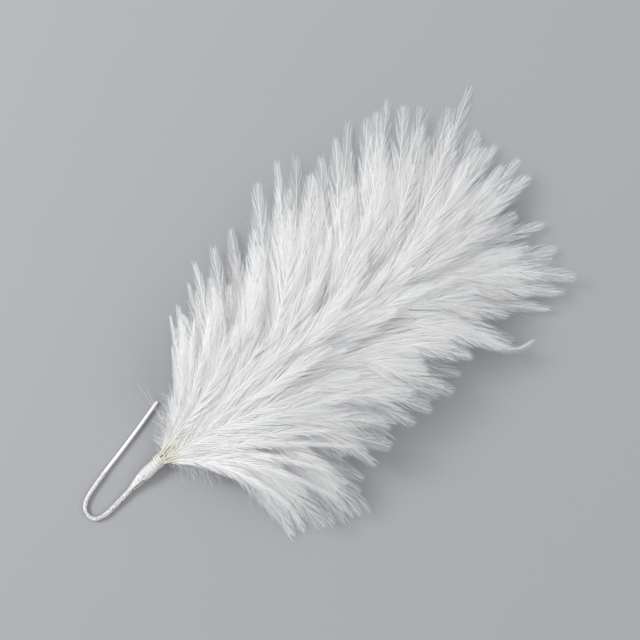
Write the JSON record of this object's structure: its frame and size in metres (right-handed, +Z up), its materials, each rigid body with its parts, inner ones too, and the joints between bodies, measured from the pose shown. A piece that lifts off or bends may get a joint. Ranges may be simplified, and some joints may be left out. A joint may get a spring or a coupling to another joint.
{
  "type": "rooster neck feather mount",
  "caption": "White rooster neck hackles bound along a covered wire into one full plume, with the taped stem bent into an open hook.",
  "frame": {"origin": "on the surface it lies on, under the middle of its bounding box", "axes": "+X along the plume from the hook to the tips, +Y to the side that the hook's free arm lies on, +Z up from the surface"},
  "size_m": [0.209, 0.1258, 0.0301],
  "materials": {
    "wire_cover": "white thread cover over thin steel wire, dull",
    "white_tape": "white paper-like floral tape wound in a slanting spiral, slightly waxy",
    "tie_thread": "off-white thread",
    "hackle_white": "white feather, silky, creamy quill, thin see-through vane edges"
  },
  "bodies": {
    "root": {"covered_wire": "wire_cover", "stem_tape": "white_tape", "tie_thread": "tie_thread", "hackle_upper_01": "hackle_white", "hackle_upper_02": "hackle_white", "hackle_upper_03": "hackle_white", "hackle_upper_04": "hackle_white", "hackle_upper_05": "hackle_white", "hackle_upper_06": "hackle_white", "hackle_upper_07": "hackle_white", "hackle_upper_08": "hackle_white", "hackle_upper_09": "hackle_white", "hackle_upper_10": "hackle_white", "hackle_upper_11": "hackle_white", "hackle_upper_12": "hackle_white", "hackle_upper_13": "hackle_white", "hackle_upper_14": "hackle_white", "hackle_upper_15": "hackle_white", "hackle_upper_16": "hackle_white", "hackle_upper_17": "hackle_white", "hackle_upper_18": "hackle_white", "hackle_upper_19": "hackle_white", "hackle_upper_20": "hackle_white", "hackle_upper_21": "hackle_white", "hackle_upper_22": "hackle_white", "hackle_upper_23": "hackle_white", "hackle_upper_24": "hackle_white", "hackle_upper_25": "hackle_white", "hackle_upper_26": "hackle_white", "hackle_upper_27": "hackle_white", "hackle_upper_28": "hackle_white", "hackle_lower_01": "hackle_white", "hackle_lower_02": "hackle_white", "hackle_lower_03": "hackle_white", "hackle_lower_04": "hackle_white", "hackle_lower_05": "hackle_white", "hackle_lower_06": "hackle_white", "hackle_lower_07": "hackle_white", "hackle_lower_08": "hackle_white", "hackle_lower_09": "hackle_white", "hackle_lower_10": "hackle_white", "hackle_lower_11": "hackle_white", "hackle_lower_12": "hackle_white", "hackle_lower_13": "hackle_white", "hackle_lower_14": "hackle_white", "hackle_lower_15": "hackle_white", "hackle_lower_16": "hackle_white", "hackle_lower_17": "hackle_white", "hackle_lower_18": "hackle_white", "hackle_lower_19": "hackle_white", "hackle_lower_20": "hackle_white", "hackle_lower_21": "hackle_white", "hackle_lower_22": "hackle_white", "hackle_lower_23": "hackle_white", "hackle_lower_24": "hackle_white", "hackle_lower_25": "hackle_white", "hackle_lower_26": "hackle_white", "hackle_lower_27": "hackle_white", "hackle_lower_28": "hackle_white"}
  },
  "joints": []
}
